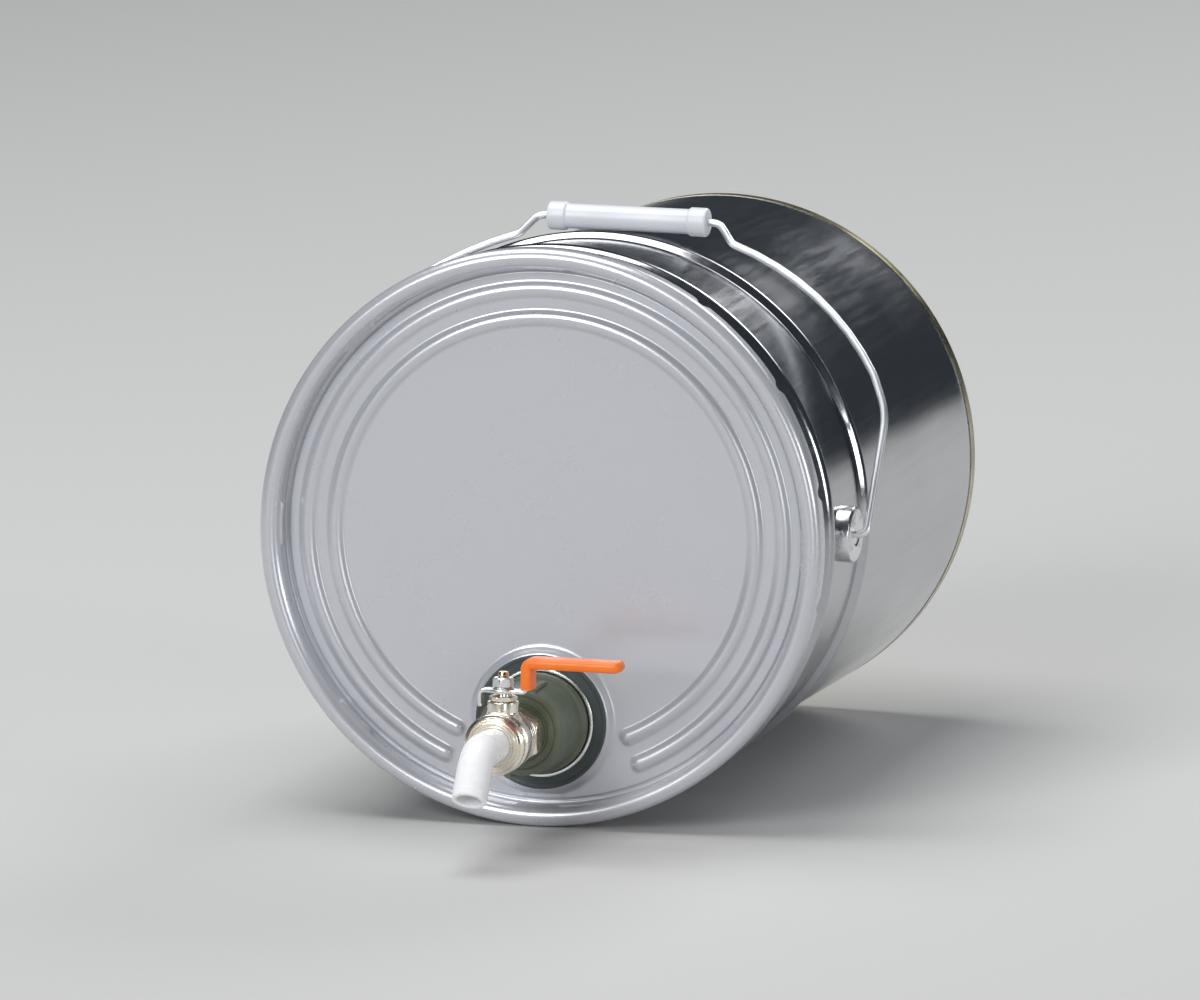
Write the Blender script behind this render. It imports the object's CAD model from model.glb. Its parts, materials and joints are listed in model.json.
import json
import math
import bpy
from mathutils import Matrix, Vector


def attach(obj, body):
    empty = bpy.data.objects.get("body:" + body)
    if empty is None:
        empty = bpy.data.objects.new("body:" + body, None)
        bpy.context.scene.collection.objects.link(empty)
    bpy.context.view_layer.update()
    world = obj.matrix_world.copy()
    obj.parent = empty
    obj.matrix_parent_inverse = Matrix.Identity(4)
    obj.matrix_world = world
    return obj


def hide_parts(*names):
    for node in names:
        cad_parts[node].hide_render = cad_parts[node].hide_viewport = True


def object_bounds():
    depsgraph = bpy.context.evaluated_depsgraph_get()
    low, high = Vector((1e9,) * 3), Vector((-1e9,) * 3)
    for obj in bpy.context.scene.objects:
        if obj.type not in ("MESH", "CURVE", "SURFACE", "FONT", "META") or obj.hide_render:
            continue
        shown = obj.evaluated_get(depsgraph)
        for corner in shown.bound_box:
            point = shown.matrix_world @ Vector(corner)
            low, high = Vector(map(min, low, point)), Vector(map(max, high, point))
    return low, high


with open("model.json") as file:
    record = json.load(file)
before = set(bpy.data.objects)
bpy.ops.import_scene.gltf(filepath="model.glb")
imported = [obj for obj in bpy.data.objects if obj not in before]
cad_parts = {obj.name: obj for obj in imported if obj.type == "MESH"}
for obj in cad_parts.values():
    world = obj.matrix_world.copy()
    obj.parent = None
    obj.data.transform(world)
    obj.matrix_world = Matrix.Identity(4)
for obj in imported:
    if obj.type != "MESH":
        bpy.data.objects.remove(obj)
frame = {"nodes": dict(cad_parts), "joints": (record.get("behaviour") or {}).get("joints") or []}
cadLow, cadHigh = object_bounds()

from types import SimpleNamespace

import bmesh
import bpy
import numpy as np
from mathutils import Matrix, Vector

print("frame loaded:", len(frame["nodes"]), "nodes")

# Everything on the drum is drawn in millimetres in the drum's own frame, where z is its axis out
# of the mouth, y is up and the rim plane is z = 0. The joints say where that frame lies.
mm = 0.001
joints = {j["name"]: j for j in frame["joints"]}
earDrop = 74
tapDrop = 98
stemZ = 61

mouthWay = Vector(joints["lid_pull"]["axis"]).normalized()
upWay = mouthWay.cross(Vector((1, 0, 0)))
earPivot = Vector(joints["bail_swing"]["pos_m"])
gripCentre = Vector(joints["grip_spin"]["pos_m"])


def frameOf(across, up, along, origin):
    # a frame from its three directions and its origin, with millimetres inside it
    turn = Matrix((across, up, along)).transposed().to_4x4()
    return Matrix.Translation(origin) @ turn @ Matrix.Scale(mm, 4)


rimCentre = earPivot + mouthWay * earDrop * mm
tapCentre = rimCentre - upWay * tapDrop * mm
rightWay = Vector((1, 0, 0))
drumFrame = frameOf(rightWay, upWay, mouthWay, rimCentre)
tapFrame = frameOf(rightWay, upWay, mouthWay, tapCentre)
stemFrame = frameOf(rightWay, -mouthWay, upWay, tapCentre + mouthWay * stemZ * mm)
gripWay = (gripCentre - earPivot).normalized()
bailFrame = frameOf(rightWay, gripWay, rightWay.cross(gripWay), earPivot)


def earFrame(side):
    # z of this frame points outwards through the ear
    outward = Vector((side, 0, 0))
    return frameOf(upWay, outward.cross(upWay), outward, earPivot)


# ---- mesh helpers

def arc(centre, radius, start, end, steps):
    turns = np.radians(np.linspace(start, end, steps))
    return [(centre[0] + radius * math.cos(a), centre[1] + radius * math.sin(a)) for a in turns]


def rounded(corners, steps=5, closed=True):
    # corners are (x, y, fillet radius); gives the outline with every corner rounded
    outline = []
    count = len(corners)
    for i, (x, y, radius) in enumerate(corners):
        here = Vector((x, y))
        if radius <= 0 or (not closed and i in (0, count - 1)):
            outline.append((x, y))
            continue
        back = Vector(corners[i - 1][:2]) - here
        ahead = Vector(corners[(i + 1) % count][:2]) - here
        half = back.angle(ahead) / 2
        reach = min(radius / math.tan(half), back.length * 0.49, ahead.length * 0.49)
        radius = reach * math.tan(half)
        middle = here + (back.normalized() + ahead.normalized()).normalized() * (radius / math.sin(half))
        first = here + back.normalized() * reach - middle
        last = here + ahead.normalized() * reach - middle
        sweep = math.atan2(first.x * last.y - first.y * last.x, first.dot(last))
        base = math.atan2(first.y, first.x)
        for k in range(steps + 1):
            a = base + sweep * k / steps
            outline.append((middle.x + radius * math.cos(a), middle.y + radius * math.sin(a)))
    return outline


def directions(points):
    along = np.gradient(points, axis=0)
    return along / np.linalg.norm(along, axis=1)[:, None]


def sheetOutline(path, thickness):
    # a closed outline round a centre line, half the thickness to each side
    points = np.array(path, float)
    along = directions(points)
    side = np.stack([-along[:, 1], along[:, 0]], axis=1) * thickness / 2
    return np.concatenate([points + side, (points - side)[::-1]])


def gridMesh(name, rows, wrapRows):
    # rows is (row, column, 3); the columns always close on themselves
    rows = np.asarray(rows, float)
    rowCount, columnCount = rows.shape[:2]
    lastRow = rowCount if wrapRows else rowCount - 1
    i, j = np.meshgrid(np.arange(lastRow), np.arange(columnCount), indexing="ij")
    iNext = (i + 1) % rowCount
    jNext = (j + 1) % columnCount
    faces = np.stack([i * columnCount + j, i * columnCount + jNext,
                      iNext * columnCount + jNext, iNext * columnCount + j], axis=-1).reshape(-1, 4)
    faces = faces.tolist()
    if not wrapRows:
        faces.append(list(range(columnCount - 1, -1, -1)))
        faces.append([(rowCount - 1) * columnCount + k for k in range(columnCount)])
    mesh = bpy.data.meshes.new(name)
    mesh.from_pydata(rows.reshape(-1, 3).tolist(), [], faces)
    return mesh


def evenTurns(columns):
    return np.linspace(0, 2 * math.pi, columns, endpoint=False)


def rowAt(radius, turns, z):
    # one ring of points; the radius and the height may change with the turn
    return np.stack([radius * np.cos(turns), radius * np.sin(turns), np.full(len(turns), z)], axis=1)


def ringRow(radius, z, columns):
    return rowAt(radius, evenTurns(columns), z)


def lathe(name, outline, columns=96):
    # a closed outline of (radius, z), turned round z
    return gridMesh(name, [ringRow(r, z, columns) for r, z in outline], wrapRows=True)


def sidedRow(sides, acrossCorners, limit, z, columns, turn=0.0):
    # one ring of a prism with that many sides, no further out than limit
    turns = evenTurns(columns)
    step = 2 * math.pi / sides
    inSide = (turns - turn) % step - step / 2
    return rowAt(np.minimum(acrossCorners * math.cos(step / 2) / np.cos(inSide), limit), turns, z)


def hexPrism(name, corner, bore, z0, z1, chamfer, columns=96, turn=0.0):
    # a hex nut: flats between two coned ends, with a bore whose edges are broken
    sides, steps, boreEdge = 6, 4, 0.4
    flat = corner * math.cos(math.pi / sides) - 0.35
    rows = []
    for k in range(steps + 1):
        rows.append(sidedRow(sides, corner, flat + (corner - flat) * k / steps,
                             z0 + chamfer * k / steps, columns, turn))
    for k in range(steps + 1):
        rows.append(sidedRow(sides, corner, corner - (corner - flat) * k / steps,
                             z1 - chamfer + chamfer * k / steps, columns, turn))
    for grow, z in ((boreEdge, z1), (0, z1 - boreEdge), (0, z0 + boreEdge), (boreEdge, z0)):
        rows.append(ringRow(bore + grow, z, columns))
    return gridMesh(name, rows, wrapRows=True)


def planarSweep(name, path, sections):
    # sections[i] is the cross-section at path[i] as (in-plane offset, offset along z) pairs
    points = np.array(path, float)
    up = np.array([0.0, 0.0, 1.0])
    rows = []
    for point, way, section in zip(points, directions(points), sections):
        side = np.array([-way[1], way[0], 0.0])
        section = np.asarray(section, float)
        rows.append(np.append(point, 0.0) + section[:, :1] * side + section[:, 1:] * up)
    return gridMesh(name, rows, wrapRows=False)


def circleSection(radius, columns=24):
    return ringRow(radius, 0.0, columns)[:, :2]


def boxSection(thick, wide, round, steps=4):
    corners = ((1, 1), (-1, 1), (-1, -1), (1, -1))
    return np.array(rounded([(x * thick / 2, y * wide / 2, round) for x, y in corners], steps))


def spreadPath(corners, spacing, steps=8):
    # a rounded line with extra points along its straight stretches
    path = np.array(rounded(corners, steps, closed=False))
    made = [path[0]]
    for a, b in zip(path[:-1], path[1:]):
        pieces = max(1, int(np.linalg.norm(b - a) / spacing))
        made += [a + (b - a) * k / pieces for k in range(1, pieces + 1)]
    made = np.array(made)
    keep = np.append(True, np.linalg.norm(np.diff(made, axis=0), axis=1) > 1e-4)
    return made[keep]


def markEdges(mesh):
    # how far each vertex stands out from its neighbours, for wear on edges and crests
    count = len(mesh.vertices)
    co, normal = np.zeros((2, count * 3))
    mesh.vertices.foreach_get("co", co)
    mesh.vertices.foreach_get("normal", normal)
    co, normal = co.reshape(-1, 3), normal.reshape(-1, 3)
    ends = np.zeros(len(mesh.edges) * 2, int)
    mesh.edges.foreach_get("vertices", ends)
    a, b = ends.reshape(-1, 2).T
    total = np.zeros((count, 3))
    number, reach = np.zeros((2, count))
    gap = np.linalg.norm(co[b] - co[a], axis=1)
    for near, far in ((a, b), (b, a)):
        np.add.at(total, near, co[far] - co[near])
        np.add.at(number, near, 1)
        np.add.at(reach, near, gap)
    number = np.maximum(number, 1)
    stand = -(total * normal).sum(axis=1) / number / np.maximum(reach / number, 1e-9)
    tone = mesh.attributes.new("edgeTone", "FLOAT", "POINT")
    tone.data.foreach_set("value", np.clip(stand * 3.0, 0, 1).astype(np.float32))


def cleanMesh(mesh):
    # poles and seams are closed, and the faces point outwards
    part = bmesh.new()
    part.from_mesh(mesh)
    bmesh.ops.remove_doubles(part, verts=part.verts, dist=0.0005)
    bmesh.ops.dissolve_degenerate(part, edges=part.edges, dist=0.0004)
    bmesh.ops.recalc_face_normals(part, faces=part.faces)
    part.to_mesh(mesh)
    part.free()
    return mesh


def link(name, data):
    made = bpy.data.objects.new(name, data)
    bpy.context.scene.collection.objects.link(made)
    return made


def addPiece(meshes, name, place, material, body, *nodes, smooth=38):
    # joins the meshes into one piece in its place, with its finish, its body and the nodes it stands for
    bm = bmesh.new()
    for mesh in meshes if isinstance(meshes, (list, tuple)) else [meshes]:
        bm.from_mesh(cleanMesh(mesh))
    joined = bpy.data.meshes.new(name)
    bm.to_mesh(joined)
    bm.free()
    joined.transform(place)
    joined.shade_smooth()
    joined.set_sharp_from_angle(angle=math.radians(smooth))
    joined.update()
    markEdges(joined)
    joined.materials.append(finish[material])
    piece = link(name, joined)
    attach(piece, body)
    if nodes:
        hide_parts(*nodes)
    # the record's slots have the finishes' names, in lower case with underscores
    "".join("_" + c.lower() if c.isupper() else c for c in material)


# ---- shared shader effects

def newGroup(name, vectors, numbers, results):
    # numbers gives the named numeric inputs with their first values
    tree = bpy.data.node_groups.new(name, "ShaderNodeTree")
    for label in vectors:
        tree.interface.new_socket(label, in_out="INPUT", socket_type="NodeSocketVector")
    for label, value in numbers.items():
        tree.interface.new_socket(label, in_out="INPUT", socket_type="NodeSocketFloat").default_value = value
    for label in results:
        tree.interface.new_socket(label, in_out="OUTPUT", socket_type="NodeSocketFloat")
    return tree, tree.nodes.new("NodeGroupInput").outputs, tree.nodes.new("NodeGroupOutput").inputs


def feed(tree, socket, value):
    # a plain value is set on the socket, and another node's output is linked to it
    if isinstance(value, bpy.types.NodeSocket):
        tree.links.new(value, socket)
    else:
        socket.default_value = value


def addNode(tree, kind, **inputs):
    node = tree.nodes.new(kind)
    for label, value in inputs.items():
        feed(tree, node.inputs[label.replace("_", " ")], value)
    return node


def mathNode(tree, operation, *values):
    node = tree.nodes.new("ShaderNodeMath")
    node.operation = operation
    for k, value in enumerate(values):
        feed(tree, node.inputs[k], value)
    return node.outputs[0]


def remap(tree, value, low, high, newLow=0.0, newHigh=1.0):
    node = addNode(tree, "ShaderNodeMapRange", Value=value, From_Min=low, From_Max=high, To_Min=newLow,
                   To_Max=newHigh)
    node.interpolation_type = "SMOOTHSTEP"
    return node.outputs[0]


def noise(tree, where, scale, detail=3.0, rough=0.55):
    return addNode(tree, "ShaderNodeTexNoise", Vector=where, Scale=scale, Detail=detail,
                   Roughness=rough).outputs[0]


def buildGrain():
    # fine surface texture and the slow mottle that goes with it
    tree, into, out = newGroup("surfaceGrain", ["Place"], {"Fine Scale": 900.0, "Mottle Scale": 18.0},
                               ["Grain", "Mottle"])
    fine = noise(tree, into["Place"], into["Fine Scale"], 4.0)
    slow = noise(tree, into["Place"], into["Mottle Scale"], 5.0, 0.6)
    tree.links.new(fine, out["Grain"])
    tree.links.new(remap(tree, slow, 0.3, 0.7), out["Mottle"])
    return tree


def buildWear():
    # rubbed crests and edges, broken up so that they never run evenly
    tree, into, out = newGroup("edgeRub", ["Place"], {"Edge": 0.0, "Amount": 0.5, "Scale": 140.0}, ["Rubbed"])
    broken = noise(tree, into["Place"], into["Scale"], 6.0, 0.7)
    exposed = mathNode(tree, "ADD", into["Edge"], mathNode(tree, "MULTIPLY_ADD", broken, 1.4, -0.85))
    mask = remap(tree, exposed, 0.36, 0.80)
    tree.links.new(mathNode(tree, "MULTIPLY", mask, into["Amount"]), out["Rubbed"])
    return tree


def buildScratches():
    # sparse hairline scuffs from handling, in two directions
    tree, into, out = newGroup("handlingScuffs", ["Place"], {"Density": 0.5, "Scale": 30.0}, ["Scuffs"])
    lines = []
    for turn in ((0.5, 0.15, 0.5), (-0.85, -0.255, -0.85)):
        turned = addNode(tree, "ShaderNodeMapping", Vector=into["Place"], Rotation=turn,
                         Scale=(1.0, 40.0, 40.0))
        streak = noise(tree, turned.outputs[0], into["Scale"], 2.0)
        where = noise(tree, into["Place"], mathNode(tree, "MULTIPLY", into["Scale"], 0.35), 3.0)
        lines.append(mathNode(tree, "MULTIPLY", remap(tree, streak, 0.68, 0.78),
                              remap(tree, where, 0.54, 0.68)))
    both = mathNode(tree, "MAXIMUM", *lines)
    tree.links.new(mathNode(tree, "MULTIPLY", both, into["Density"]), out["Scuffs"])
    return tree


def buildRolled():
    # the long faint streaks that rolling or drawing leaves in metal
    tree, into, out = newGroup("drawnStreaks", ["Place", "Stretch"], {"Scale": 60.0}, ["Streaks"])
    squeezed = tree.nodes.new("ShaderNodeVectorMath")
    squeezed.operation = "MULTIPLY"
    tree.links.new(into["Place"], squeezed.inputs[0])
    tree.links.new(into["Stretch"], squeezed.inputs[1])
    streaks = noise(tree, squeezed.outputs[0], into["Scale"], 5.0, 0.65)
    tree.links.new(remap(tree, streaks, 0.3, 0.7), out["Streaks"])
    return tree


grainGroup = buildGrain()
wearGroup = buildWear()
scuffGroup = buildScratches()
rolledGroup = buildRolled()


def placeGroup(tree, group, **inputs):
    node = tree.nodes.new("ShaderNodeGroup")
    node.node_tree = group
    for label, value in inputs.items():
        feed(tree, node.inputs[label.replace("_", " ")], value)
    return node.outputs


def mixColor(tree, factor, first, second):
    node = tree.nodes.new("ShaderNodeMix")
    node.data_type = "RGBA"
    tree.links.new(factor, node.inputs[0])
    for k, value in ((6, first), (7, second)):
        feed(tree, node.inputs[k], (*value, 1) if isinstance(value, tuple) else value)
    return node.outputs[2]


plainFinish = dict(wearScale=140.0, scuffScale=30.0, scuffColor=(0.5, 0.5, 0.5), scuffRough=0.12,
                   wearRough=-0.06, bumpDepth=0.0002, waveDepth=0.002, shader={})


def makeFinish(name, sizes):
    s = {**plainFinish, **sizes}
    material = bpy.data.materials.new(name)
    material.use_nodes = True
    tree = material.node_tree
    join = tree.links.new
    shader = tree.nodes["Principled BSDF"]
    where = tree.nodes.new("ShaderNodeTexCoord").outputs["Object"]
    edge = tree.nodes.new("ShaderNodeAttribute")
    edge.attribute_name = "edgeTone"
    grain = placeGroup(tree, grainGroup, Place=where, Fine_Scale=s["grainScale"],
                       Mottle_Scale=s["mottleScale"])
    rubbed = placeGroup(tree, wearGroup, Place=where, Edge=edge.outputs["Fac"], Amount=s["wear"],
                        Scale=s["wearScale"])[0]
    scuffed = placeGroup(tree, scuffGroup, Place=where, Density=s["scuffs"], Scale=s["scuffScale"])[0]
    color = mixColor(tree, grain["Mottle"], s["color"], s["shade"])
    rough = remap(tree, grain["Mottle"], 0.0, 1.0, *s["rough"])
    height = grain["Grain"]
    if "stretch" in s:
        streak = placeGroup(tree, rolledGroup, Place=where, Stretch=s["stretch"], Scale=s["streakScale"])[0]
        color = mixColor(tree, mathNode(tree, "MULTIPLY", streak, s["streakTone"]), color, s["streakColor"])
        rough = mathNode(tree, "MULTIPLY_ADD", streak, s["streakRough"], rough)
        height = mathNode(tree, "MULTIPLY_ADD", streak, s["streakHeight"], height)
    for mask, name in ((rubbed, "wear"), (scuffed, "scuff")):
        color = mixColor(tree, mask, color, s[name + "Color"])
    for mask, name in ((scuffed, "scuff"), (rubbed, "wear")):
        rough = mathNode(tree, "MULTIPLY_ADD", mask, s[name + "Rough"], rough)
    bump = addNode(tree, "ShaderNodeBump", Strength=s["bump"], Distance=s["bumpDepth"], Height=height)
    if "wave" in s:
        scale, strength = s["wave"]
        slowBump = addNode(tree, "ShaderNodeBump", Strength=strength, Distance=s["waveDepth"],
                           Height=noise(tree, where, scale, 2.0, 0.4))
        join(slowBump.outputs[0], bump.inputs["Normal"])
    for label, value in (("Base Color", color), ("Roughness", rough), ("Normal", bump.outputs[0])):
        join(value, shader.inputs[label])
    for label, value in s["shader"].items():
        shader.inputs[label].default_value = value
    return material


finishes = {
    "tinnedSteel": dict(
        color=(0.50, 0.51, 0.53), shade=(0.46, 0.47, 0.50), rough=(0.11, 0.15), grainScale=1500.0,
        mottleScale=10.0, bump=0.02, wear=0.3, wearColor=(0.74, 0.75, 0.77), scuffs=0.35,
        scuffColor=(0.42, 0.43, 0.45), stretch=(1.0, 0.03, 1.0), streakScale=240.0, streakTone=0.16,
        streakColor=(0.38, 0.39, 0.42), streakRough=0.06, streakHeight=0.2, wave=(5.0, 0.05),
        shader={"Metallic": 1.0}),
    "goldLacquer": dict(
        color=(0.42, 0.35, 0.13), shade=(0.30, 0.27, 0.11), rough=(0.22, 0.34), grainScale=1200.0,
        mottleScale=16.0, bump=0.05, wear=0.7, wearColor=(0.62, 0.60, 0.52), scuffs=0.6,
        scuffColor=(0.52, 0.48, 0.34), stretch=(0.05, 1.0, 1.0), streakScale=220.0, streakTone=0.25,
        streakColor=(0.24, 0.22, 0.09), streakRough=0.08, streakHeight=0.5,
        shader={"Metallic": 1.0, "Coat Weight": 0.4, "Coat Roughness": 0.12}),
    "silverPaint": dict(
        color=(0.585, 0.595, 0.64), shade=(0.56, 0.57, 0.615), rough=(0.25, 0.31), grainScale=1900.0,
        mottleScale=9.0, bump=0.05, wear=0.22, wearScale=420.0, wearColor=(0.72, 0.73, 0.77), scuffs=0.0,
        wave=(8.0, 0.04), shader={"Metallic": 0.4, "Coat Weight": 0.35, "Coat Roughness": 0.14}),
    "zincPlate": dict(
        color=(0.84, 0.84, 0.83), shade=(0.74, 0.74, 0.75), rough=(0.20, 0.32), grainScale=1600.0,
        mottleScale=90.0, bump=0.06, wear=0.5, wearColor=(0.90, 0.90, 0.89), scuffs=0.5, scuffScale=90.0,
        scuffColor=(0.52, 0.52, 0.53), shader={"Metallic": 1.0}),
    "galvanisedWire": dict(
        color=(0.86, 0.88, 0.90), shade=(0.76, 0.78, 0.81), rough=(0.36, 0.46), grainScale=2200.0,
        mottleScale=60.0, bump=0.08, wear=0.2, wearColor=(0.92, 0.92, 0.92), scuffs=0.2, scuffScale=80.0,
        scuffColor=(0.60, 0.61, 0.63), shader={"Metallic": 0.9}),
    "whiteGrip": dict(
        color=(0.80, 0.82, 0.86), shade=(0.76, 0.78, 0.825), rough=(0.30, 0.38), grainScale=1400.0,
        mottleScale=40.0, bump=0.06, wear=0.5, wearColor=(0.90, 0.91, 0.93), scuffs=0.4, scuffScale=70.0,
        scuffColor=(0.60, 0.61, 0.63),
        shader={"Subsurface Weight": 0.25, "Subsurface Radius": (0.004, 0.004, 0.005),
                "Specular IOR Level": 0.5}),
    "sealRubber": dict(
        color=(0.056, 0.074, 0.073), shade=(0.045, 0.060, 0.060), rough=(0.42, 0.55), grainScale=900.0,
        mottleScale=60.0, bump=0.12, wear=0.4, wearColor=(0.09, 0.10, 0.10), scuffs=0.2, scuffScale=80.0,
        scuffColor=(0.09, 0.09, 0.09)),
    "olivePlastic": dict(
        color=(0.125, 0.145, 0.100), shade=(0.098, 0.117, 0.078), rough=(0.36, 0.48), grainScale=1100.0,
        mottleScale=55.0, bump=0.16, wear=0.6, wearColor=(0.20, 0.23, 0.16), scuffs=0.25, scuffScale=90.0,
        scuffColor=(0.16, 0.18, 0.13), shader={"Specular IOR Level": 0.5}),
    "nickelBrass": dict(
        color=(0.93, 0.88, 0.79), shade=(0.86, 0.78, 0.64), rough=(0.16, 0.28), grainScale=1500.0,
        mottleScale=120.0, bump=0.06, wear=0.8, wearScale=260.0, wearColor=(0.90, 0.68, 0.34), scuffs=0.3,
        scuffScale=110.0, scuffColor=(0.66, 0.55, 0.38), shader={"Metallic": 1.0}),
    "seatPlastic": dict(
        color=(0.84, 0.83, 0.79), shade=(0.78, 0.77, 0.73), rough=(0.40, 0.50), grainScale=900.0,
        mottleScale=70.0, bump=0.08, wear=0.2, wearColor=(0.9, 0.9, 0.88), scuffs=0.2, scuffScale=90.0,
        scuffColor=(0.6, 0.6, 0.58)),
    "orangeSleeve": dict(
        color=(1.0, 0.225, 0.020), shade=(0.97, 0.19, 0.015), rough=(0.30, 0.42), grainScale=700.0,
        mottleScale=60.0, bump=0.14, wear=0.35, wearColor=(0.98, 0.36, 0.12), scuffs=0.35, scuffScale=90.0,
        scuffColor=(0.60, 0.13, 0.03),
        shader={"Specular IOR Level": 0.45, "Subsurface Weight": 0.1,
                "Subsurface Radius": (0.003, 0.001, 0.0005)}),
    "polishedBall": dict(
        color=(0.82, 0.82, 0.82), shade=(0.76, 0.76, 0.77), rough=(0.06, 0.12), grainScale=1200.0,
        mottleScale=70.0, bump=0.02, wear=0.2, wearColor=(0.9, 0.9, 0.9), scuffs=0.3, scuffScale=110.0,
        scuffColor=(0.6, 0.6, 0.6), shader={"Metallic": 1.0}),
    "nozzlePlastic": dict(
        color=(0.93, 0.94, 0.97), shade=(0.89, 0.905, 0.94), rough=(0.26, 0.34), grainScale=900.0,
        mottleScale=60.0, bump=0.05, wear=0.4, wearColor=(0.96, 0.97, 0.98), scuffs=0.2, scuffScale=90.0,
        scuffColor=(0.74, 0.77, 0.82),
        shader={"Subsurface Weight": 0.55, "Subsurface Radius": (0.006, 0.007, 0.008),
                "Specular IOR Level": 0.5}),
}
finish = {name: makeFinish(name, spec) for name, spec in finishes.items()}
print("finishes made:", len(finish))


# ---- Geometry Nodes: copies of one small rounded block round a circle or along a line

def buildBlockRing():
    tree = bpy.data.node_groups.new("blockRing", "GeometryNodeTree")
    face = tree.interface
    face.new_socket("Geometry", in_out="INPUT", socket_type="NodeSocketGeometry")
    for label, kind, value in (("Count", "NodeSocketInt", 8), ("Radius", "NodeSocketFloat", 10.0),
                               ("Height", "NodeSocketFloat", 0.0), ("Rise", "NodeSocketFloat", 0.0),
                               ("Start", "NodeSocketFloat", 0.0), ("Sweep", "NodeSocketFloat", 2 * math.pi),
                               ("Block", "NodeSocketVector", (1, 1, 1)), ("Roundness", "NodeSocketInt", 2)):
        made = face.new_socket(label, in_out="INPUT", socket_type=kind)
        made.default_value = value
    face.new_socket("Finish", in_out="INPUT", socket_type="NodeSocketMaterial")
    face.new_socket("Geometry", in_out="OUTPUT", socket_type="NodeSocketGeometry")
    into = tree.nodes.new("NodeGroupInput").outputs
    index = tree.nodes.new("GeometryNodeInputIndex").outputs[0]
    step = mathNode(tree, "DIVIDE", into["Sweep"], into["Count"])
    turn = mathNode(tree, "ADD", mathNode(tree, "MULTIPLY", index, step), into["Start"])
    spot = addNode(tree, "ShaderNodeCombineXYZ",
                   X=mathNode(tree, "MULTIPLY", mathNode(tree, "COSINE", turn), into["Radius"]),
                   Y=mathNode(tree, "MULTIPLY", mathNode(tree, "SINE", turn), into["Radius"]),
                   Z=mathNode(tree, "MULTIPLY_ADD", index, into["Rise"], into["Height"]))
    points = addNode(tree, "GeometryNodePoints", Count=into["Count"], Position=spot.outputs[0])
    block = addNode(tree, "GeometryNodeMeshCube", Size=into["Block"])
    soft = addNode(tree, "GeometryNodeSubdivisionSurface", Mesh=block.outputs["Mesh"],
                   Level=into["Roundness"])
    turned = addNode(tree, "ShaderNodeCombineXYZ", Z=turn)
    copies = addNode(tree, "GeometryNodeInstanceOnPoints", Points=points.outputs[0],
                     Instance=soft.outputs[0], Rotation=turned.outputs[0])
    real = addNode(tree, "GeometryNodeRealizeInstances", Geometry=copies.outputs[0])
    dress = addNode(tree, "GeometryNodeSetMaterial", Geometry=real.outputs[0], Material=into["Finish"])
    tree.links.new(dress.outputs[0], tree.nodes.new("NodeGroupOutput").inputs[0])
    return tree


blockRing = buildBlockRing()


def ringOfBlocks(name, material, **sizes):
    # runs the tree and gives its result as a plain mesh; a ring is flat and whole unless it is told otherwise
    sizes = {"Rise": 0.0, "Start": 0.0, "Sweep": 2 * math.pi, "Roundness": 2, **sizes}
    holder = link(name + "Maker", bpy.data.meshes.new(name + "Maker"))
    modifier = holder.modifiers.new("ring", "NODES")
    modifier.node_group = blockRing
    sockets = {s.name: s.identifier for s in blockRing.interface.items_tree if s.in_out == "INPUT"}
    for label, value in sizes.items():
        modifier[sockets[label]] = value
    modifier[sockets["Finish"]] = material
    depsgraph = bpy.context.evaluated_depsgraph_get()
    mesh = bpy.data.meshes.new_from_object(holder.evaluated_get(depsgraph))
    holder.modifiers.clear()
    bpy.data.objects.remove(holder)
    mesh.materials.clear()
    return mesh


# ---- drum body

shellSizes = dict(bodyR=143.8, lowerR=141.4, footR=137.0, sheet=0.8, upperBead=-36, upperProud=6.9,
    upperHalf=6.3, lowerBead=-118, lowerProud=3.6, lowerHalf=5.0, curlMid=146.5, curlZ=-6.15,
    curlRound=3.1, seamTop=-358.0, seamR=136.0, end=-364.6, columns=216, wobble=0.10, stepFall=4.2,
    seamFall=2.5, blur=1.6, fineStep=0.7, coarseStep=7.0, fineNear=11)


def shellRadius(z):
    s = SimpleNamespace(**shellSizes)
    upper = np.clip(1 - ((z - s.upperBead) / s.upperHalf) ** 2, 0, 1) ** 0.5 * s.upperProud
    lower = np.clip(1 - ((z - s.lowerBead) / s.lowerHalf) ** 2, 0, 1) ** 0.5 * s.lowerProud
    step = np.clip((s.lowerBead - z) / s.stepFall, 0, 1)
    taperTop = s.lowerBead - s.stepFall
    fall = np.clip((taperTop - z) / (taperTop - s.seamTop - s.seamFall), 0, 1)
    base = s.bodyR + (s.lowerR - s.bodyR) * step + (s.footR - s.lowerR) * fall
    inSeam = np.clip((s.seamTop + s.seamFall - z) / s.seamFall, 0, 1)
    return base + upper + lower + (s.seamR - s.footR) * inSeam


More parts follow.
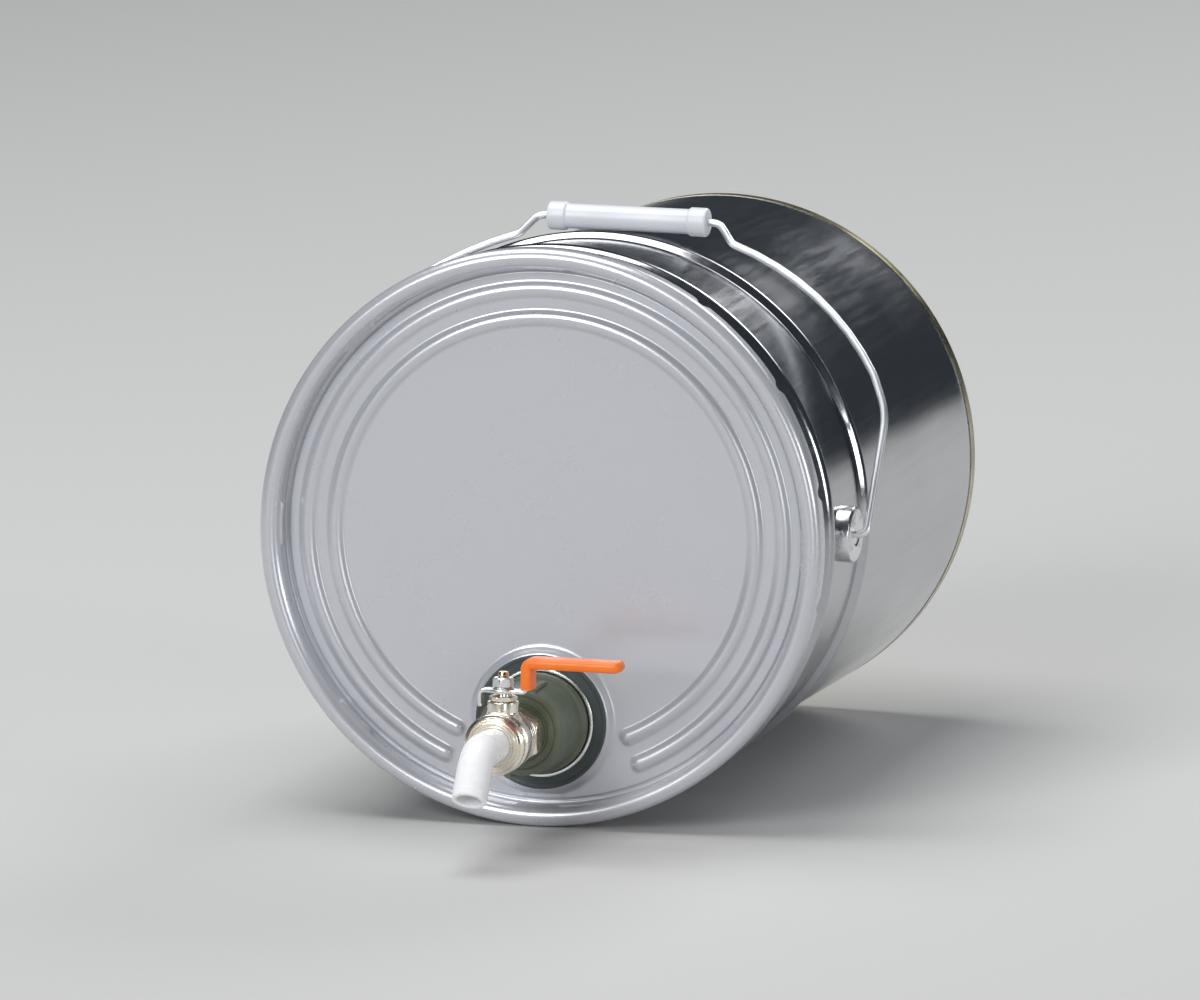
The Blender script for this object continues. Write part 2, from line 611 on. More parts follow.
def makeShell():
    s = SimpleNamespace(**shellSizes)
    heights = [s.curlZ - 1.0]
    while heights[-1] > s.end:
        z = heights[-1]
        near = min(abs(z - s.upperBead), abs(z - s.lowerBead), abs(z - s.seamTop))
        heights.append(z - (s.fineStep if near < s.fineNear else s.coarseStep))
    heights = np.array(heights[:-1] + [s.end])
    # the beads are rolled, so their feet are blended over a little height
    blur = np.linspace(-s.blur, s.blur, 9)
    radii = np.mean([shellRadius(heights + b) for b in blur], axis=0) - s.sheet / 2
    curl = arc((s.curlMid, s.curlZ), s.curlRound, -80, 172, 15)
    path = curl + list(zip(radii, heights))
    outline = sheetOutline(path, s.sheet)
    rows = []
    turns = evenTurns(s.columns)
    for r, z in outline:
        # the sheet is never quite round between its stiff ends
        depth = np.clip((s.curlZ - 14 - z) / 20, 0, 1) * np.clip((z - s.seamTop) / 20, 0, 1)
        sway = np.sin(2 * turns + z / 37) * np.sin(z / 29) + 0.7 * np.sin(5 * turns - z / 23)
        rows.append(rowAt(r + s.wobble * depth * sway, turns, z))
    shell = gridMesh("drumShell", rows, wrapRows=True)
    addPiece(shell, "drumShell", drumFrame, "tinnedSteel", "drum_body", "shell")


seamSizes = dict(turn=-148.0, top=-132.0, bottom=-352.0, count=150, block=(0.9, 1.8, 2.6))


def makeSideSeam():
    # the welded lap of the sheet: a narrow flattened strip and its row of weld marks
    s = SimpleNamespace(**seamSizes)
    a = math.radians(s.turn)
    step = (s.bottom - s.top) / s.count
    top = float(shellRadius(np.array(s.top)))
    low = float(shellRadius(np.array(s.bottom)))
    marks = ringOfBlocks("seamMarks", finish["tinnedSteel"], Count=s.count, Radius=top + 0.02,
                         Height=s.top, Rise=step, Start=a, Sweep=0.0, Block=s.block)
    for v in marks.vertices:
        share = (s.top - v.co.z) / (s.top - s.bottom)
        v.co.x += (low - top) * share * math.cos(a)
        v.co.y += (low - top) * share * math.sin(a)
    addPiece(marks, "sideSeamWeld", drumFrame, "tinnedSteel", "drum_body")


bottomSizes = dict(end=-366.0, sheet=0.8, rise=6.4, band=123.1, bandRise=9.8, wall=134.6, outer=136.6,
    lip=8.0, rings=(84, 105), ringHigh=1.6, ringHalf=4.0, columns=192)


def makeBottom():
    s = SimpleNamespace(**bottomSizes)
    radii = np.concatenate([np.linspace(0.0, 76, 6), np.arange(78, s.band - 1, 0.9)])
    high = np.zeros(len(radii))
    for ring in s.rings:
        high += s.ringHigh * np.clip(1 - ((radii - ring) / s.ringHalf) ** 2, 0, 1)
    path = [(r, s.rise + h) for r, h in zip(radii, high)]
    tail = rounded([(s.band - 0.5, s.rise, 0), (s.band, s.rise, 2), (s.wall - 1.4, s.bandRise, 1.2),
                    (s.wall, s.bandRise - 1.6, 1.2), (s.wall, 0.4, 0.9), (s.outer, 0.4, 0.9),
                    (s.outer, s.lip, 0)], 5, closed=False)
    outline = sheetOutline(path + tail, s.sheet)
    outline[:, 0] = np.maximum(outline[:, 0], 0)
    outline[0][0] = 0
    outline[-1][0] = 0
    outline[:, 1] += s.end
    mesh = lathe("drumBottom", outline, s.columns)
    addPiece(mesh, "drumBottom", drumFrame, "goldLacquer", "drum_body", "bottom_end")


earSizes = dict(radius=14.8, root=140.9, top=151.9, wall=1.3, hole=2.1, dish=6.4, spotCount=4,
    spotRadius=10.2)


def makeEar(side, name, node):
    s = SimpleNamespace(**earSizes)
    outline = rounded([
        (s.radius, s.root, 0.2), (s.radius, s.top - 1.2, 0), (s.radius - 0.3, s.top - 0.6, 0.4),
        (s.radius - 1.6, s.top, 1.4), (s.dish, s.top, 0.6), (s.dish - 1.2, s.top - 0.55, 0.8),
        (s.hole, s.top - 0.55, 0.35), (s.hole, s.top - s.wall - 0.3, 0.2),
        (s.radius - s.wall, s.top - s.wall - 0.2, 1.2), (s.radius - s.wall, s.root, 0.2)], 6)
    cup = lathe(name, outline, 72)
    spots = ringOfBlocks(name + "Spots", finish["zincPlate"], Count=s.spotCount, Radius=s.spotRadius,
                         Height=s.top - 0.12, Start=math.pi / 4,
                         Block=(3.4, 3.4, 0.75), Roundness=3)
    addPiece([cup, spots], name, earFrame(side), "zincPlate", "drum_body", node)


makeShell()
makeSideSeam()
makeBottom()
makeEar(-1, "earLeft", "ear_left")
makeEar(1, "earRight", "ear_right")
print("drum body made")


# ---- bail with its grip

bailSizes = dict(wireR=2.0, legX=157.0, arcR=173.0, reach=174.5, kink=(49.5, 58.0), start=148.2, bend=8.0,
    headR=3.15, head=(147.1, 148.7))


def makeBail():
    s = SimpleNamespace(**bailSizes)
    legTurn = math.degrees(math.acos(s.legX / s.arcR))
    kinkTurn = math.degrees(math.acos(s.kink[1] / s.arcR))
    bow = [(x, y, 40.0) for x, y in arc((0, 0), s.arcR, legTurn + 7, kinkTurn, 9)]
    bow[-1] = (*bow[-1][:2], s.bend)
    half = [(s.start, 0, 0), (s.legX, 0, s.bend)]
    half += [(s.legX, s.arcR * math.sin(math.radians(legTurn)) - 3, 45)]
    half += bow + [(s.kink[0], s.reach, s.bend)]
    corners = half + [(-x, y, r) for x, y, r in half[::-1]]
    path = spreadPath(corners, 4.0, 6)
    wire = planarSweep("bailWire", path, [circleSection(s.wireR, 20)] * len(path))
    heads = []
    for side in (-1, 1):
        outline = rounded([(0, s.head[0], 0), (s.headR, s.head[0], 0.4), (s.headR, s.head[1], 0.5),
                           (s.wireR - 0.1, s.head[1], 0), (0, s.head[1], 0)], 4)
        head = lathe("bailHead", outline, 24)
        head.transform(Matrix.Rotation(math.radians(90 * side), 4, "Y"))
        heads.append(head)
    addPiece([wire, *heads], "bailWire", bailFrame, "galvanisedWire", "bail", "bail_wire")


gripSizes = dict(length=87.0, radius=6.6, collar=7.6, collarLength=9.5, bore=2.1, columns=72, seam=0.22,
    seamWide=0.09)


def makeGrip():
    s = SimpleNamespace(**gripSizes)
    half = s.length / 2
    inner = half - s.collarLength
    outline = rounded([
        (s.bore, -half, 0.4), (s.collar, -half, 1.5), (s.collar, -inner, 0.9),
        (s.radius, -inner + 0.9, 1.0), (s.radius, inner - 0.9, 1.0), (s.collar, inner, 0.9),
        (s.collar, half, 1.5), (s.bore, half, 0.4)], 6)
    turns = evenTurns(s.columns)
    # the mould's parting line, on the outside only
    seam = s.seam * np.exp(-(np.sin(turns) / s.seamWide) ** 2)
    rows = [rowAt(r + seam * (r > s.bore + 2.5), turns, z) for r, z in outline]
    mesh = gridMesh("bailGrip", rows, wrapRows=True)
    across = frameOf(gripWay.cross(rightWay), gripWay, rightWay, gripCentre)
    addPiece(mesh, "bailGrip", across, "whiteGrip", "grip", "grip")


makeBail()
makeGrip()
print("bail made")


# ---- lid

lidSizes = dict(panel=-14.0, sheet=0.8, sink=141.8, rimMid=146.9, rimRound=5.1, rimR=152.0,
    ridges=(114.0, 129.0), ridgeRound=5.2, ridgeHigh=2.2, ridgeGap=24.0, bossOut=40.0, bossIn=35.0,
    bossHigh=3.0, mouthR=20.0, sinkGroove=(140.2, 1.9, 1.0), pads=8, padTurn=9.0, padEdge=0.35,
    padDeep=1.2, padZ=(-11.6, -4.6), lugs=16, notchTop=-8.0, notchHalf=(1.2, 4.5), lugEnd=-13.9, lean=0.45)


def smoothStep(value, low, high):
    t = np.clip((value - low) / (high - low), 0, 1)
    return t * t * (3 - 2 * t)


def lidColumns():
    # fine turns by the tap and at every lug notch, coarser ones elsewhere
    s = SimpleNamespace(**lidSizes)
    turns = list(np.radians(np.arange(-90 - 30, -90 + 30.01, 0.55)))
    turns += list(np.radians(np.arange(-90 + 31, 270 - 30.5, 1.35)))
    for k in range(s.pads):
        middle = k * 360 / s.pads + 90
        edges = [middle + side * s.padTurn / 2 + share * s.padEdge
                 for side in (-1, 1) for share in (-1, 0, 1)]
        turns = [t for t in turns if min(abs((math.degrees(t) - e + 180) % 360 - 180) for e in edges) > 0.3]
        turns += [math.radians(e) for e in edges]
    for k in range(s.lugs):
        middle = math.radians((k + 0.5) * 360 / s.lugs - 90)
        near = [middle + side * half / s.rimR for side in (-1, 1) for half in (*s.notchHalf, 2.85)]
        spare = (s.notchHalf[1] + 0.6) / s.rimR
        turns = [t for t in turns if abs((t - middle + math.pi) % (2 * math.pi) - math.pi) > spare] + near
    return np.sort(np.array(turns) % (2 * math.pi))


def ridgeHeight(r, turns):
    s = SimpleNamespace(**lidSizes)
    away = np.degrees(np.abs((turns + math.pi / 2 + math.pi) % (2 * math.pi) - math.pi))
    short = np.radians(np.clip(s.ridgeGap - away, 0, None))
    total = np.zeros(len(turns))
    for ridge in s.ridges:
        far = np.hypot(r - ridge, ridge * np.sin(short))
        top = np.sqrt(np.clip(s.ridgeRound ** 2 - far ** 2, 0, None)) - s.ridgeRound + s.ridgeHigh
        top = np.where(far > s.ridgeRound, -3.0 - 0.6 * (far - s.ridgeRound), top)
        total += 0.5 * (top + np.sqrt(top ** 2 + 0.16))
    return total


def bossHeight(r, turns):
    s = SimpleNamespace(**lidSizes)
    far = np.hypot(r * np.cos(turns), r * np.sin(turns) + tapDrop)
    return s.bossHigh * (1 - smoothStep(far, s.bossIn, s.bossOut))


def padDepth(z, turns):
    s = SimpleNamespace(**lidSizes)
    step = 2 * math.pi / s.pads
    near = np.degrees(np.abs((turns - math.pi / 2 + step / 2) % step - step / 2))
    side = 1 - smoothStep(near, s.padTurn / 2 - s.padEdge, s.padTurn / 2 + s.padEdge)
    low, high = s.padZ
    return s.padDeep * side * smoothStep(z, low, low + 1.6) * (1 - smoothStep(z, high - 1.4, high))


def lugEnd(turns):
    s = SimpleNamespace(**lidSizes)
    step = 2 * math.pi / s.lugs
    # distance along the rim to the nearest notch
    near = np.abs((turns + math.pi / 2) % step - step / 2) * s.rimR
    return np.interp(near, [0, *s.notchHalf], [s.notchTop, s.notchTop, s.lugEnd])


def lidSurface(inset, turns):
    # the lid's outer face, or the face one sheet behind it, as rows from the middle outwards
    s = SimpleNamespace(**lidSizes)
    panel = s.panel - inset
    flat = np.concatenate([np.linspace(0, 54, 7), np.arange(56.5, 107, 1.45), np.arange(107.2, 136.5, 0.8)])
    rows = [rowAt(r, turns, panel + ridgeHeight(r, turns) + bossHeight(r, turns)) for r in flat]
    # a shallow groove runs round the foot of the countersink wall
    groove, half, deep = s.sinkGroove
    wall = rounded([(groove - 2 * half, panel, 0), (groove - half, panel, 0.8),
                    (groove - 0.4 * half, panel - deep, 0.8), (s.sink + inset, panel - deep, 1.2),
                    (s.sink + inset, -s.rimRound - 2, 0)], 4, closed=False)
    wall += [(s.sink + inset, z) for z in (-6.6, -6.0, -5.5)]
    rim = arc((s.rimMid, -s.rimRound), s.rimRound - inset, 180, 0, 15)
    for r, z in wall + rim:
        rows.append(rowAt(r - (padDepth(z, turns) if r < s.rimMid else 0), turns, z))
    end = lugEnd(turns)
    for share in (0.2, 0.45, 0.7, 0.9, 1.0):
        z = -6.0 + (end + 6.0) * share
        low = np.clip((-6.5 - z) / 7.5, 0, 1)
        rows.append(rowAt(s.rimR - inset - s.lean * low ** 1.5, turns, z))
    return rows


def makeLid():
    s = SimpleNamespace(**lidSizes)
    turns = lidColumns()
    rows = lidSurface(0.0, turns) + lidSurface(s.sheet, turns)[::-1]
    blank = link("lidBlank", cleanMesh(gridMesh("drumLid", rows, wrapRows=True)))
    # the mouth is punched out of the blank
    low, high = s.panel - 6, s.panel + 8
    punchMesh = cleanMesh(lathe("mouthPunch", [(0, low), (s.mouthR, low), (s.mouthR, high), (0, high)], 72))
    punchMesh.transform(Matrix.Translation((0, -tapDrop, 0)))
    punch = link("mouthPunch", punchMesh)
    cut = blank.modifiers.new("mouth", "BOOLEAN")
    cut.operation = "DIFFERENCE"
    cut.solver = "EXACT"
    cut.object = punch
    depsgraph = bpy.context.evaluated_depsgraph_get()
    punched = bpy.data.meshes.new_from_object(blank.evaluated_get(depsgraph))
    bpy.data.objects.remove(blank)
    bpy.data.objects.remove(punch)
    addPiece(punched, "drumLid", drumFrame, "silverPaint", "lid", "lid")


mouthSizes = dict(bore=18.0, neck=19.8, top=6.0, flange=28.9, flangeZ=(-9.6, -7.8), low=-14.8, clamp=24.8,
    sealOut=35.4, sealZ=(-11.0, -9.6), sealRound=0.7, sealDish=(28.0, 34.2, 0.25))


def makeMouth():
    s = SimpleNamespace(**mouthSizes)
    low, high = s.flangeZ
    ring = rounded([
        (s.bore, s.low, 0.4), (s.clamp, s.low, 0.5), (s.clamp, s.low + 1.6, 0.5),
        (s.neck, s.low + 1.6, 0.3), (s.neck, low, 0.2), (s.flange, low, 0.7),
        (s.flange, high, 0.8), (s.flange - 1.6, high, 0.6), (s.flange - 2.6, high - 0.5, 0.5),
        (s.neck, high - 0.5, 0.8), (s.neck, s.top, 0.5), (s.bore, s.top, 0.5)], 5)
    addPiece(lathe("mouthNeck", ring, 120), "mouthNeck", tapFrame, "zincPlate", "lid", "mouth_ring")
    low, high = s.sealZ
    dishIn, dishOut, dishDeep = s.sealDish
    seal = rounded([(s.neck + 0.2, low, 0.2), (s.sealOut, low, s.sealRound),
                    (s.sealOut, high - 0.1, s.sealRound), (dishOut, high, 0.5),
                    (dishOut - 1.2, high - dishDeep, 0.5), (dishIn, high - dishDeep, 0.3),
                    (s.neck + 0.2, high - dishDeep, 0.2)], 6)
    addPiece(lathe("mouthSeal", seal, 120), "mouthSeal", tapFrame, "sealRubber", "lid", "mouth_gasket")


makeLid()
makeMouth()
print("lid made")


# ---- tap: adapter

adapterSizes = dict(low=-7.6, flange=26.5, flangeTop=-1.5, root=25.2, nose=22.8, front=30.0, tail=9.7,
    hub=17.0, thread=20.1, threadEnd=8.4, wall=7.5, grooves=(13.6, 15.0, 19.0), grooveDeep=0.5,
    ribTurns=(-106.0, 74.0), ribWide=4.0, ribOut=25.7, ribIn=21.0, ribZ=(8.0, 29.0))


def makeAdapter():
    s = SimpleNamespace(**adapterSizes)
    front = s.front
    corners = [(s.tail, front, 0.5)]
    for groove in s.grooves:
        corners += [(groove - 0.55, front, 0.25), (groove - 0.2, front - s.grooveDeep, 0.15),
                    (groove + 0.2, front - s.grooveDeep, 0.15), (groove + 0.55, front, 0.25)]
    corners += [(s.nose - 0.4, front, 1.4), (s.nose + 0.1, front - 3.0, 0), (s.root, s.flangeTop + 1.2, 0.8),
                (s.flange, s.flangeTop + 0.4, 0.7), (s.flange, s.low, 0.7),
                (s.thread + 2.2, s.low, 0.5), (s.thread + 2.2, s.low + 1.0, 0.3),
                (s.thread, s.low + 1.4, 0.3), (s.thread, s.threadEnd, 0.3),
                (s.hub, s.threadEnd, 0.3), (s.hub, front - s.wall, 0.8),
                (s.tail, front - s.wall, 0.4)]
    cap = lathe("adapterCap", rounded(corners, 4), 144)
    ribs = []
    for turn in s.ribTurns:
        middle = (s.ribOut + s.ribIn) / 2
        rib = planarSweep("adapterRib", [(s.ribIn, 0), (middle, 0), (s.ribOut - 0.9, 0), (s.ribOut, 0)],
                          [boxSection(s.ribWide - d, s.ribZ[1] - s.ribZ[0] - d, 0.9)
                           for d in (0, 0, 0, 1.6)])
        rib.transform(Matrix.Rotation(math.radians(turn), 4, "Z")
                      @ Matrix.Translation((0, 0, (s.ribZ[0] + s.ribZ[1]) / 2)))
        ribs.append(rib)
    addPiece([cap, *ribs], "tapAdapter", tapFrame, "olivePlastic", "lid", "tap_adapter")


# ---- tap: valve with its stem

valveSizes = dict(tail=9.5, bore=6.5, start=4.0, cap=30.1, collar=13.0, hexStart=36.0, hexEnd=47.0,
    hexR=16.2, groove=12.6, grooveEnd=49.0, barrel=15.2, barrelStart=52.0, barrelEnd=66.6,
    rings=(54.6, 57.4), ringDeep=0.55, chamber=9.2, chamberStart=50.5, spigot=12.5, spigotEnd=70.5,
    neckR=8.2, neckTop=21.0, neckBore=4.1, packing=(6.2, 16.8))


def turnedGrooves(radius, places, deep):
    # rounded grooves cut by a lathe tool, one at each place along the axis
    corners = []
    for z in places:
        corners += [(radius, z - 0.75, 0.3), (radius - deep, z - 0.3, 0.25),
                    (radius - deep, z + 0.3, 0.25), (radius, z + 0.75, 0.3)]
    return corners


def makeValve():
    s = SimpleNamespace(**valveSizes)
    outline = rounded([
        (s.bore, s.start, 0.5), (s.tail, s.start, 0.6), (s.tail, s.cap, 0), (s.collar, s.cap, 0.5),
        (s.collar, s.hexStart - 0.8, 0.3), (s.groove, s.hexStart + 0.5, 0.2),
        (s.groove, s.hexEnd - 0.5, 0.2), (s.groove, s.grooveEnd, 0.9),
        (s.barrel, s.barrelStart, 1.4), *turnedGrooves(s.barrel, s.rings, s.ringDeep),
        (s.barrel, s.barrelEnd - 1.4, 0.6), (s.barrel - 1.1, s.barrelEnd, 0.5),
        (s.spigot, s.barrelEnd, 0.2), (s.spigot, s.spigotEnd, 0.3),
        (s.chamber, s.spigotEnd, 0.3), (s.chamber, s.chamberStart, 0.2),
        (s.bore, s.chamberStart, 0.2)], 5)
    barrel = lathe("valveBarrel", outline, 120)
    hexagon = hexPrism("valveHex", s.hexR, s.groove - 0.6, s.hexStart, s.hexEnd, 1.5, 120,
                             math.pi / 6)
    neck = rounded([
        (s.neckBore, 9.4, 0.2), (s.neckR + 2.6, 9.4, 0), (s.neckR + 2.0, 12.6, 2.5), (s.neckR, 15.0, 2.0),
        (s.neckR, s.neckTop, 0.5), (s.packing[0], s.neckTop, 0.3),
        (s.packing[0], s.packing[1], 0.1), (s.neckBore, s.packing[1], 0.1)], 6)
    boss = lathe("valveNeck", neck, 64)
    boss.transform(tapFrame.inverted() @ stemFrame)
    addPiece([barrel, hexagon, boss], "valveBody", tapFrame, "nickelBrass", "lid", "valve_body", smooth=32)


nutSizes = dict(start=67.0, end=80.0, radius=16.2, ring=2.4, waist=1.3, bead=(75.0, 77.4), edge=13.2,
    socket=12.7, shoulder=(6.5, 70.6), recess=(10.6, 71.8, 74.2), bore=9.3, sealSeat=(11.0, 75.6, 77.6),
    knurls=40, knurlBlock=(1.5, 1.5, 5.0))


def makeOutletNut():
    s = SimpleNamespace(**nutSizes)
    waist = s.radius - s.waist
    bore, step = s.shoulder
    recess, recessStart, recessEnd = s.recess
    seat, seatStart, seatEnd = s.sealSeat
    outline = rounded([
        (bore, step, 0.2), (s.socket, step, 0.2), (s.socket, s.start, 0.2),
        (s.radius - 0.9, s.start, 0.2), (s.radius, s.start + 0.8, 0.5),
        (s.radius, s.start + s.ring - 0.3, 0.5), (waist, s.start + s.ring + 0.2, 0.3),
        (waist, s.bead[0] - 0.4, 0.3), (s.radius, s.bead[0] + 0.2, 0.5), (s.radius, s.bead[1], 0.8),
        (s.radius - 1.5, s.bead[1] + 0.7, 0.4), (s.edge + 0.7, s.end - 0.1, 0.6),
        (s.edge + 0.1, s.end - 0.1, 0.2), (s.edge - 0.2, s.end - 0.6, 0.2),
        (s.edge - 0.7, s.end - 0.6, 0.2), (s.edge - 1.0, s.end, 0.3), (s.bore + 1.9, s.end, 0.3),
        (s.bore + 1.2, s.end - 0.7, 0.3), (s.bore, s.end - 0.7, 0.2), (s.bore, seatEnd, 0.1),
        (seat, seatEnd, 0.1), (seat, seatStart, 0.1), (s.bore, seatStart, 0.1), (s.bore, recessEnd, 0.1),
        (recess, recessEnd, 0.1), (recess, recessStart, 0.1), (bore, recessStart, 0.1)], 5)
    body = lathe("outletNut", outline, 120)
    middle = (s.start + s.ring + s.bead[0]) / 2
    knurls = ringOfBlocks("outletKnurls", finish["nickelBrass"], Count=s.knurls, Radius=waist + 0.1,
                          Height=middle, Block=s.knurlBlock)
    addPiece([body, knurls], "outletNut", tapFrame, "nickelBrass", "lid", "outlet_nut", smooth=32)


stemSizes = dict(gland=7.6, glandZ=(21.1, 24.0), rod=4.0, shoulder=25.4, tip=3.0, top=36.5, foot=8.9,
    footR=5.2, footTop=10.4, tongue=(8.0, 2.4, 6.1, 9.4), pitch=0.8, threadStart=29.0)


def makeStem():
    s = SimpleNamespace(**stemSizes)
    gland = hexPrism("glandNut", s.gland, 4.3, s.glandZ[0], s.glandZ[1], 0.6, 96, 0.3)
    addPiece(gland, "glandNut", stemFrame, "nickelBrass", "lid", "packing_nut", smooth=30)
    corners = [(0, s.foot, 0), (s.footR, s.foot, 0.3), (s.footR, s.footTop, 0.3),
               (s.rod, s.footTop, 0.2), (s.rod, s.shoulder, 0.3), (s.tip - 0.3, s.shoulder, 0)]
    outline = rounded(corners, 3)
    # thread on the tip, as close rings
    turns = int((s.top - 0.8 - s.threadStart) / s.pitch)
    for k in range(turns):
        z = s.threadStart + k * s.pitch
        outline += [(s.tip - 0.32, z), (s.tip - 0.02, z + s.pitch / 2)]
    outline += [(s.tip - 0.6, s.top), (0, s.top)]
    rod = lathe("valveStem", outline, 48)
    # the tongue that sits in the ball's slot
    long, thick, low, high = s.tongue
    middle = (low + high) / 2
    tongue = planarSweep("stemTongue", [(x * long, 0) for x in (-0.5, -0.47, 0, 0.47, 0.5)],
                         [boxSection(thick - d, high - low - d, 0.3) for d in (0.4, 0, 0, 0, 0.4)])
    tongue.transform(Matrix.Translation((0, 0, middle)))
    addPiece([rod, tongue], "valveStem", stemFrame, "nickelBrass", "lever", "stem", smooth=50)


# ---- lever

leverSizes = dict(plate=26.5, thick=2.0, tabX=-12.0, tabLow=18.0, tabWide=7.0, discR=7.0, riser=13.5,
    handle=42.0, strapEnd=60.6, wide=10.0, sleeveThick=5.8, sleeveWide=14.0, sleeveLow=28.0, end=64.6,
    washer=(3.05, 5.6, 27.55, 28.3), nut=(5.8, 28.35, 33.5), tabBlend=(-9.5, 5.0), tipRound=3.2,
    lip=(0.06, 0.8), bulge=(0.05, 2.4, 1.2))


def makeLever():
    s = SimpleNamespace(**leverSizes)
    corners = [(s.tabX, s.tabLow, 0), (s.tabX, s.plate, 2.2), (s.riser, s.plate, 2.2),
               (s.riser, s.handle, 2.2), (s.strapEnd, s.handle, 0)]
    path = spreadPath(corners, 1.0, 6)
    sections = []
    for k, (x, h) in enumerate(path):
        blend = min(1.0, max(0.0, (x - s.tabBlend[0]) / s.tabBlend[1]))
        wide = s.tabWide + (s.wide - s.tabWide) * blend
        if abs(h - s.plate) < 0.3 and abs(x) < s.discR:
            wide = max(wide, 2 * math.sqrt(s.discR ** 2 - x ** 2))
        if k in (0, len(path) - 1):
            wide -= 1.2
        sections.append(boxSection(s.thick, wide, 0.5))
    strap = planarSweep("leverStrap", path, sections)
    # the sweep lies in x and the stem's height, across the tap's axis
    leverFrame = frameOf(rightWay, upWay, mouthWay, tapCentre + mouthWay * stemZ * mm)
    addPiece(strap, "leverStrap", leverFrame, "zincPlate", "lever", "lever_strap", smooth=35)

    corners = [(s.riser, s.sleeveLow, 0), (s.riser, s.handle, 3.1), (s.end - 0.15, s.handle, 0)]
    path = spreadPath(corners, 1.0, 10)
    sections = []
    for k, (x, h) in enumerate(path):
        left = s.end - x
        nearTip = 1 - min(left / s.tipRound, 1.0)
        tip = math.sqrt(max(0.0, 1 - nearTip ** 2)) if h > s.handle - 1 else 1.0
        low = h - s.sleeveLow if x < s.riser + 0.5 else 9.0
        lip = 1 - s.lip[0] * max(0.0, 1 - low / s.lip[1])
        deep, middle, wide = s.bulge
        bulge = 1 - deep * math.exp(-((low - middle) / wide) ** 2)
        grow = max(tip, 0.22) * lip * bulge
        thick, wide = s.sleeveThick * grow, s.sleeveWide * (0.35 + 0.65 * tip) * lip
        sections.append(boxSection(thick, wide, min(thick, wide) * 0.44, 7))
    sleeve = planarSweep("leverSleeve", path, sections)
    addPiece(sleeve, "leverSleeve", leverFrame, "orangeSleeve", "lever", "lever_sleeve", smooth=60)

    bore, out, low, high = s.washer
    corners = [(bore, low, 0.1), (out, low, 0.2), (out, high, 0.3), (bore, high, 0.2)]
    washer = lathe("leverWasher", rounded(corners, 3), 64)
    addPiece(washer, "leverWasher", stemFrame, "zincPlate", "lever", "lever_washer", smooth=35)
    corner, low, high = s.nut
    nut = hexPrism("leverNut", corner, 3.05, low, high, 0.8, 96, 0.5)
    addPiece(nut, "leverNut", stemFrame, "zincPlate", "lever", "lever_nut", smooth=30)


# ---- outlet elbow

elbowSizes = dict(outer=9.2, bore=6.5, start=72.3, bendStart=98.0, bendR=18.0, turn=56.0, collarEnd=73.9,
    collarR=10.3, band=4.0, bandHigh=0.12, bandWide=0.25, tipEdge=0.6, mouldHigh=0.12, mouldWide=0.06,
    mouldStart=82)


def makeElbow():
    s = SimpleNamespace(**elbowSizes)
    lead = [(0.0, z) for z in np.linspace(s.start, s.bendStart, 22)]
    bend = [(-s.bendR + s.bendR * math.cos(a), s.bendStart + s.bendR * math.sin(a))
            for a in np.radians(np.linspace(0, s.turn, 25))[1:]]
    a = math.radians(s.turn)
    way = np.array([-math.sin(a), math.cos(a)])
    tip = np.array(bend[-1])
    runs = np.array([0.6, 1.5, 3, 5, 7, 9, 11, 12.5, 13.4, 13.7, 14.0, 14.6, 15.6, 16.8, 17.4, 17.8, 18.0])
    path = np.array(lead + bend + [tuple(tip + way * d) for d in runs])
    along = np.concatenate([[0], np.cumsum(np.linalg.norm(np.diff(path, axis=0), axis=1))])
    turns = evenTurns(64)
    mould = s.mouldHigh * np.exp(-(np.cos(turns) / s.mouldWide) ** 2)

    def ring(point, direction, radius):
        side = np.array([0.0, -direction[1], direction[0]])
        across = np.array([1.0, 0.0, 0.0])
        return (np.append(0.0, point) + (radius + 0 * turns)[:, None]
                * (np.cos(turns)[:, None] * side + np.sin(turns)[:, None] * across))

    outside, inside = [], []
    for point, direction, left in zip(path, directions(path), along[-1] - along):
        tipShare = max(0.0, 1 - left / s.tipEdge) ** 2
        radius = s.collarR if point[1] < s.collarEnd and point[0] == 0 else s.outer - 0.02
        radius += s.bandHigh * math.exp(-((left - s.band) / s.bandWide) ** 2) - 0.55 * tipShare
        moulded = mould * (left > s.tipEdge) * (point[1] > s.mouldStart)
        outside.append(ring(point, direction, radius + moulded))
        inside.append(ring(point, direction, s.bore + 0.5 * tipShare))
    mesh = gridMesh("outletElbow", outside + inside[::-1], wrapRows=True)
    addPiece(mesh, "outletElbow", tapFrame, "nozzlePlastic", "nozzle", "nozzle_elbow", smooth=40)


makeAdapter()
makeValve()
makeOutletNut()
makeStem()
makeLever()
makeElbow()
print("tap made")


# ---- inner parts that keep their CAD shape

keptNodes = {
    "lid_gasket": "sealRubber", "adapter_seal": "sealRubber", "nozzle_seal": "sealRubber",
    "tail_nut": "nickelBrass", "seat_rear": "seatPlastic", "seat_front": "seatPlastic",
    "stem_packing": "seatPlastic", "ball": "polishedBall",
}
for node, name in keptNodes.items():
    kept = frame["nodes"][node]
    kept.data.materials.clear()
    kept.data.materials.append(finish[name])


# ---- studio

studio = dict(floorReach=14, floorColor=(0.60, 0.60, 0.595), floorRough=0.75, airSeen=(0.62, 0.63, 0.64),
              airReflected=(0.040, 0.048, 0.058), aim=(0, 0, 0.14))


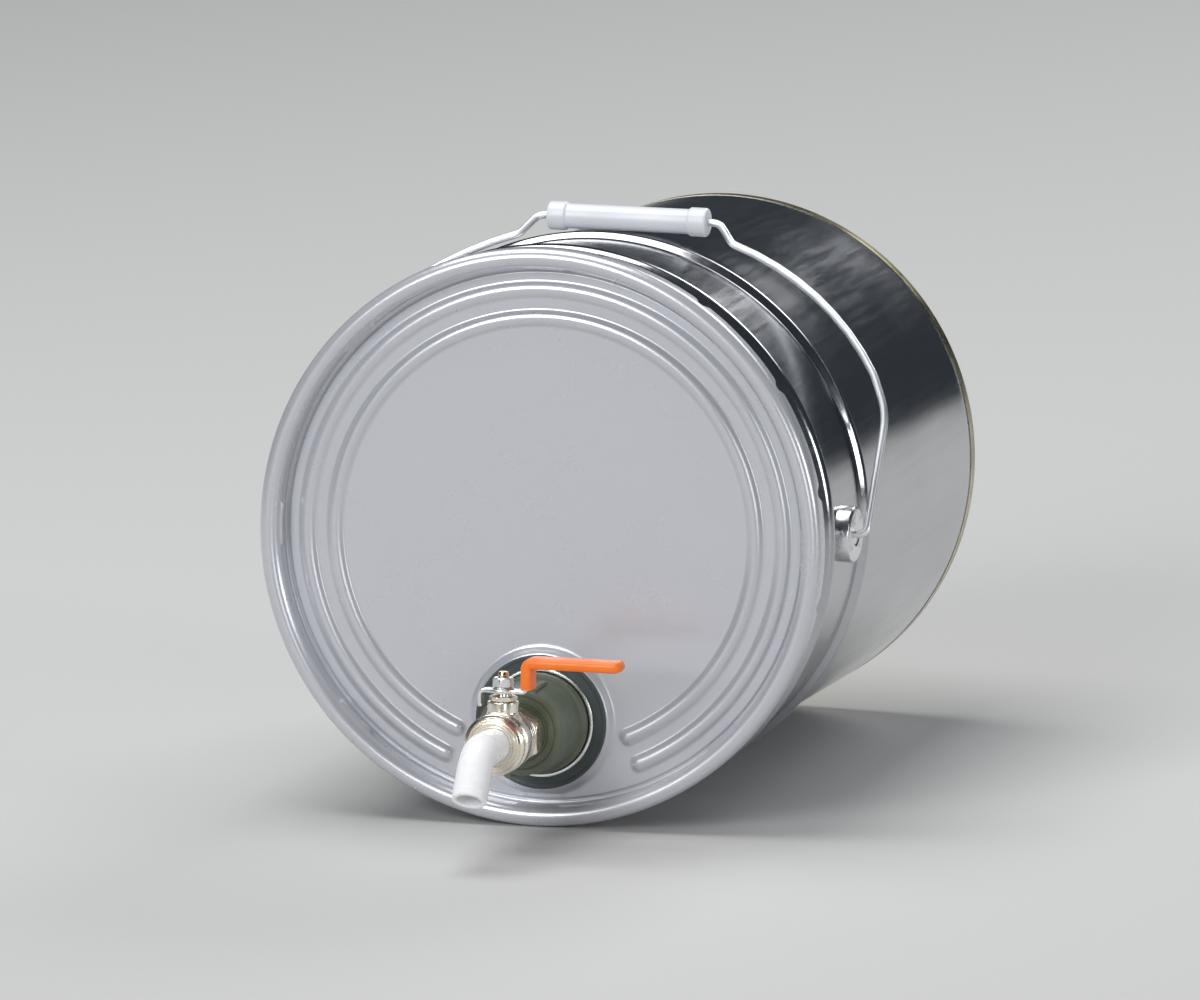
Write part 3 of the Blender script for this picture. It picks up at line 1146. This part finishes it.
def makeStudio():
    floorMesh = bpy.data.meshes.new("studioFloor")
    reach = studio["floorReach"]
    floorMesh.from_pydata([(-reach, -reach, 0), (reach, -reach, 0), (reach, reach, 0), (-reach, reach, 0)],
                          [], [(0, 1, 2, 3)])
    floor = link("studioFloor", floorMesh)
    paper = bpy.data.materials.new("studioPaper")
    paper.use_nodes = True
    shader = paper.node_tree.nodes["Principled BSDF"]
    shader.inputs["Base Color"].default_value = (*studio["floorColor"], 1)
    shader.inputs["Roughness"].default_value = studio["floorRough"]
    floorMesh.materials.append(paper)
    world = bpy.data.worlds.new("studioAir")
    world.use_nodes = True
    sky = world.node_tree
    direct = sky.nodes.new("ShaderNodeLightPath").outputs["Is Camera Ray"]
    air = mixColor(sky, direct, studio["airReflected"], studio["airSeen"])
    sky.links.new(air, sky.nodes["Background"].inputs["Color"])
    bpy.context.scene.world = world
    lamps = {
        "topBox": ((-0.9, 0.1, 3.4), 2.6, 96.0),
        "frontBox": ((-1.7, -5.4, 2.6), 2.8, 180.0),
        "fillBox": ((2.6, -4.6, 0.9), 1.6, 26.0),
        "rightBox": ((3.4, -0.6, 0.9), 1.1, 26.0),
        "rearBox": ((1.0, 3.4, 2.4), 1.8, 48.0),
    }
    aim = Vector(studio["aim"])
    for name, (spot, size, power) in lamps.items():
        light = bpy.data.lights.new(name, "AREA")
        light.size = size
        light.energy = power
        holder = link(name, light)
        holder.location = spot
        holder.rotation_mode = "QUATERNION"
        holder.rotation_quaternion = (aim - Vector(spot)).to_track_quat("-Z", "Y")


def makeCamera():
    view = dict(azimuth=16.0, elevation=10.4, distance=14.0, lens=800.0, sensor=36, farClip=60)
    lens = bpy.data.cameras.new("studioCamera")
    lens.lens = view["lens"]
    lens.sensor_width = view["sensor"]
    lens.clip_end = view["farClip"]
    camera = link("studioCamera", lens)
    a, e = math.radians(view["azimuth"]), math.radians(view["elevation"])
    back = Vector((math.sin(a) * math.cos(e), -math.cos(a) * math.cos(e), math.sin(e)))
    middle = (cadLow + cadHigh) / 2
    camera.rotation_mode = "QUATERNION"
    camera.location = middle + back * view["distance"]
    camera.rotation_quaternion = (-back).to_track_quat("-Z", "Y")
    bpy.context.scene.camera = camera


makeStudio()
makeCamera()
bpy.context.scene.view_settings.view_transform = "Standard"
